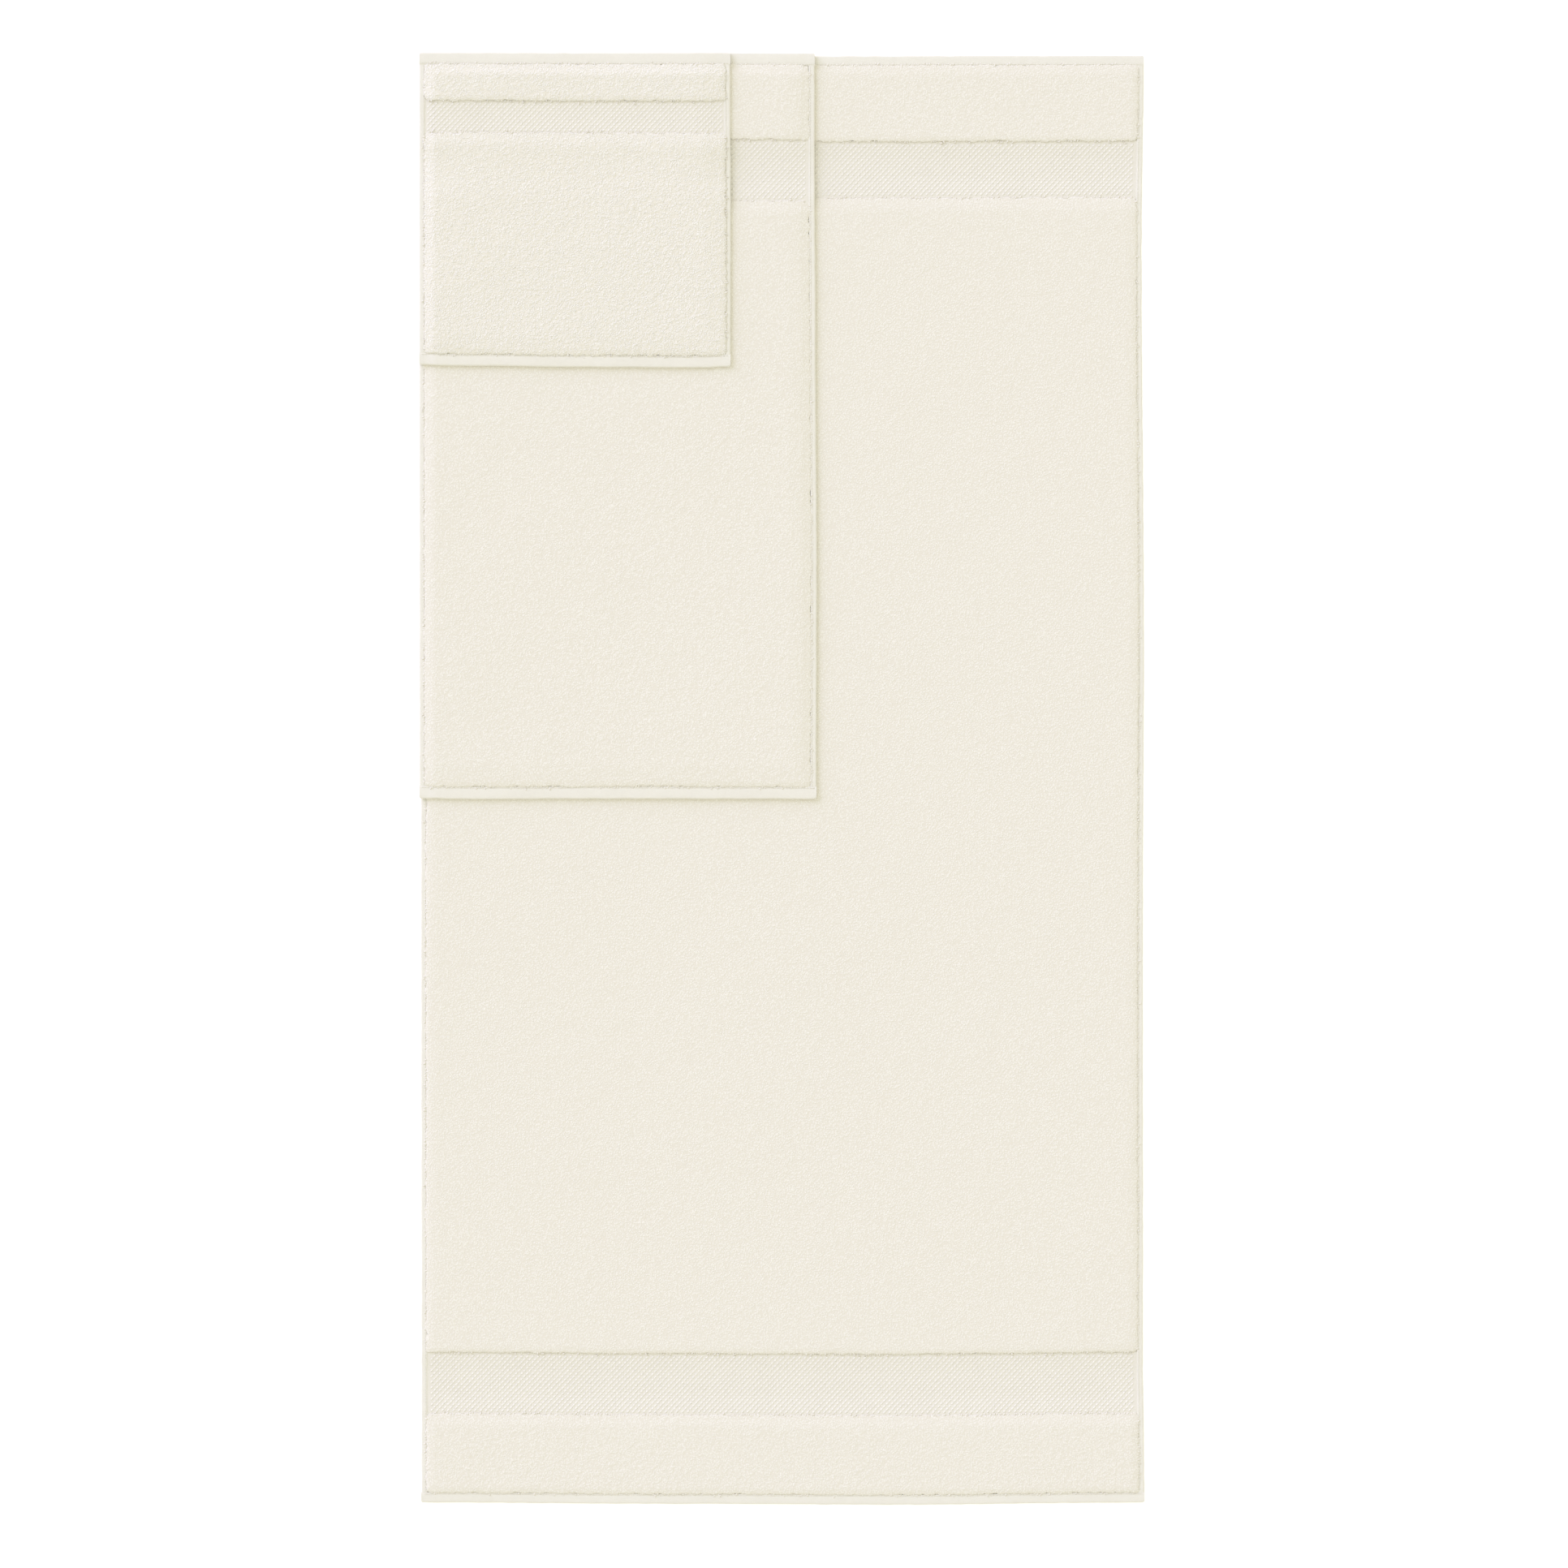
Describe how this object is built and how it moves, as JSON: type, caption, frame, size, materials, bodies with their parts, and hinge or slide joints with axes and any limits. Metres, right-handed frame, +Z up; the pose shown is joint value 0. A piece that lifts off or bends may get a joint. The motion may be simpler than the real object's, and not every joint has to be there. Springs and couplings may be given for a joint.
{
  "type": "bath towel set",
  "caption": "Flat-laid terry towel set: washcloth over hand towel over bath towel, lined up at a corner, with turned hems and woven dobby bands, for drying.",
  "frame": {"origin": "on the supporting surface, under the middle of the whole set's outline", "axes": "+X across the towels to the right, +Y along the towels to their top ends, where all of them line up, +Z up through the stack"},
  "size_m": [0.7638, 1.531, 0.0186],
  "materials": {
    "ground_cloth": "plain woven cotton, matte",
    "terry_pile": "looped cotton terry, matte ivory",
    "dobby_weave": "flat dobby weave of small slanted floats, faint sheen",
    "hem_cloth": "plain woven cotton, turned and pressed",
    "seam_thread": "spun polyester sewing thread",
    "care_label": "blank satin ribbon"
  },
  "bodies": {
    "bath_towel": {"bath_ground_cloth": "ground_cloth", "bath_top_stripe_front_pile": "terry_pile", "bath_top_stripe_back_pile": "terry_pile", "bath_top_dobby_front_weave": "dobby_weave", "bath_top_dobby_back_weave": "dobby_weave", "bath_field_front_pile": "terry_pile", "bath_field_back_pile": "terry_pile", "bath_bottom_dobby_front_weave": "dobby_weave", "bath_bottom_dobby_back_weave": "dobby_weave", "bath_bottom_stripe_front_pile": "terry_pile", "bath_bottom_stripe_back_pile": "terry_pile", "bath_left_side_hem": "hem_cloth", "bath_right_side_hem": "hem_cloth", "bath_top_end_hem": "hem_cloth", "bath_bottom_end_hem": "hem_cloth", "bath_left_side_seam": "seam_thread", "bath_right_side_seam": "seam_thread", "bath_top_end_seam": "seam_thread", "bath_bottom_end_seam": "seam_thread", "bath_care_label": "care_label"},
    "hand_towel": {"hand_ground_cloth": "ground_cloth", "hand_top_stripe_front_pile": "terry_pile", "hand_top_stripe_back_pile": "terry_pile", "hand_top_dobby_front_weave": "dobby_weave", "hand_top_dobby_back_weave": "dobby_weave", "hand_field_front_pile": "terry_pile", "hand_field_back_pile": "terry_pile", "hand_left_side_hem": "hem_cloth", "hand_right_side_hem": "hem_cloth", "hand_top_end_hem": "hem_cloth", "hand_bottom_end_hem": "hem_cloth", "hand_left_side_seam": "seam_thread", "hand_right_side_seam": "seam_thread", "hand_top_end_seam": "seam_thread", "hand_bottom_end_seam": "seam_thread", "hand_care_label": "care_label"},
    "washcloth": {"wash_ground_cloth": "ground_cloth", "wash_top_stripe_front_pile": "terry_pile", "wash_top_stripe_back_pile": "terry_pile", "wash_top_dobby_front_weave": "dobby_weave", "wash_top_dobby_back_weave": "dobby_weave", "wash_field_front_pile": "terry_pile", "wash_field_back_pile": "terry_pile", "wash_left_side_hem": "hem_cloth", "wash_right_side_hem": "hem_cloth", "wash_top_end_hem": "hem_cloth", "wash_bottom_end_hem": "hem_cloth", "wash_left_side_seam": "seam_thread", "wash_right_side_seam": "seam_thread", "wash_top_end_seam": "seam_thread", "wash_bottom_end_seam": "seam_thread", "wash_care_label": "care_label"}
  },
  "joints": [
    {"name": "hand_towel_lift", "type": "slide", "parent": "bath_towel", "child": "hand_towel", "axis": [0, 0, 1], "range_m": [0, 0.3]},
    {"name": "washcloth_lift", "type": "slide", "parent": "hand_towel", "child": "washcloth", "axis": [0, 0, 1], "range_m": [0, 0.2]}
  ]
}
